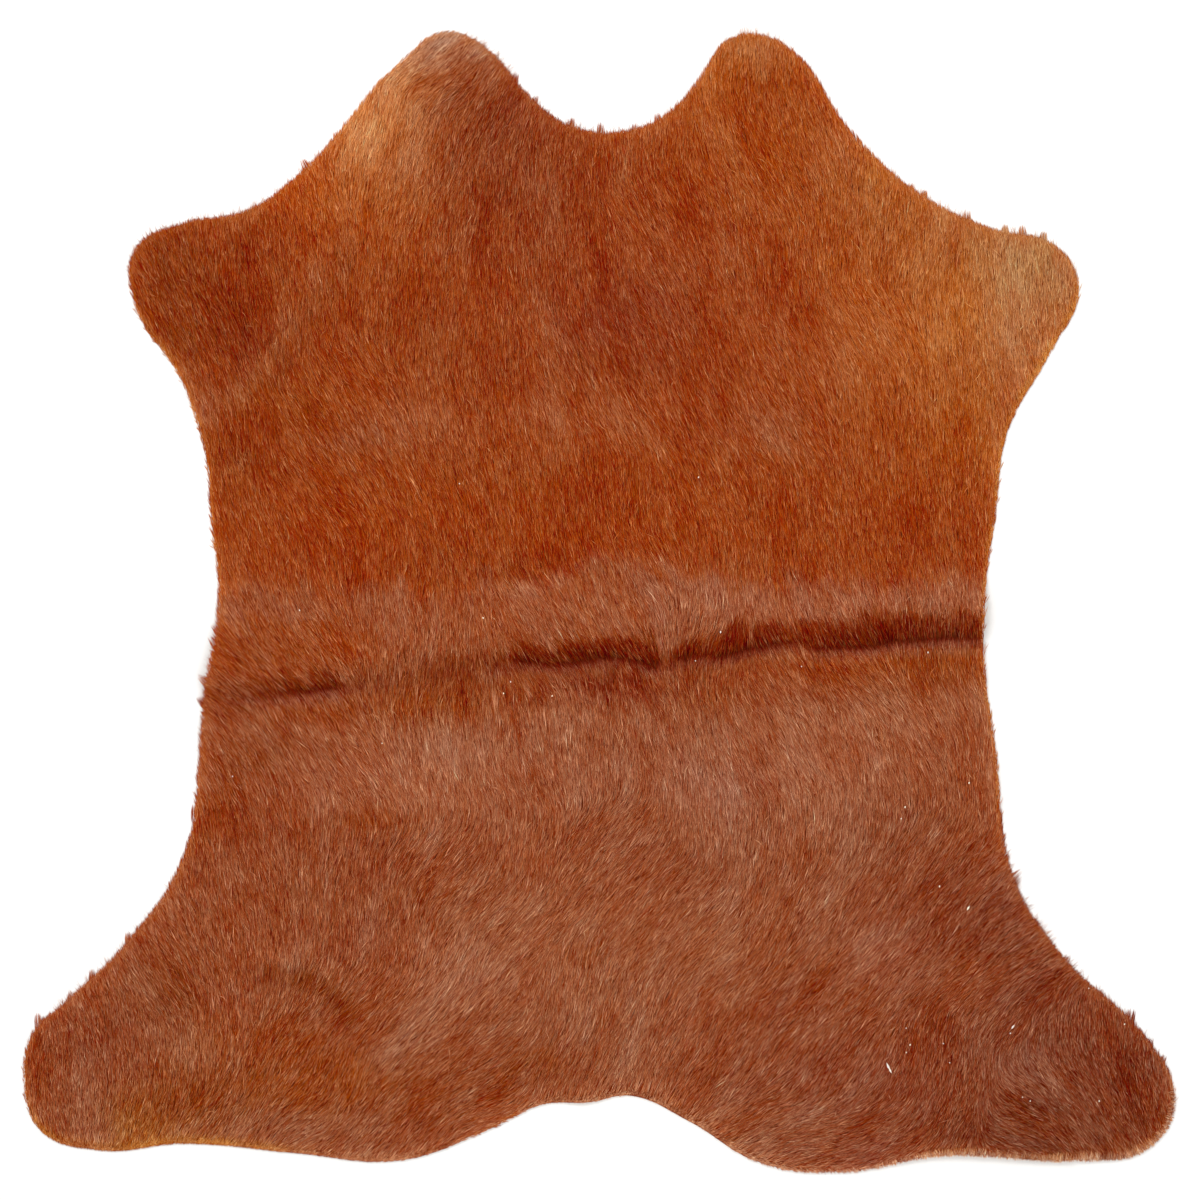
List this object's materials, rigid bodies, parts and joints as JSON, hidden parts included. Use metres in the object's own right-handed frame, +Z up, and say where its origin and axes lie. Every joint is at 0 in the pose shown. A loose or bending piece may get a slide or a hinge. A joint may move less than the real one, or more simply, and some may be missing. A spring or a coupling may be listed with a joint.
{
  "type": "calf hide rug",
  "caption": "Calf hide with its hair on, cut in the spread shape of cheeks, shanks and flanks, lying flat with one soft fold across the saddle.",
  "frame": {"origin": "on the surface that the hide lies on, under the middle of its box", "axes": "+Z up out of the coat, +Y towards the neck cut, +X towards the shanks that lie on the right when the neck points away"},
  "size_m": [0.8996, 0.8907, 0.0186],
  "materials": {
    "calf_hair": "hair on, soft sheen"
  },
  "bodies": {
    "root": {"hide": "calf_hair"}
  },
  "joints": []
}
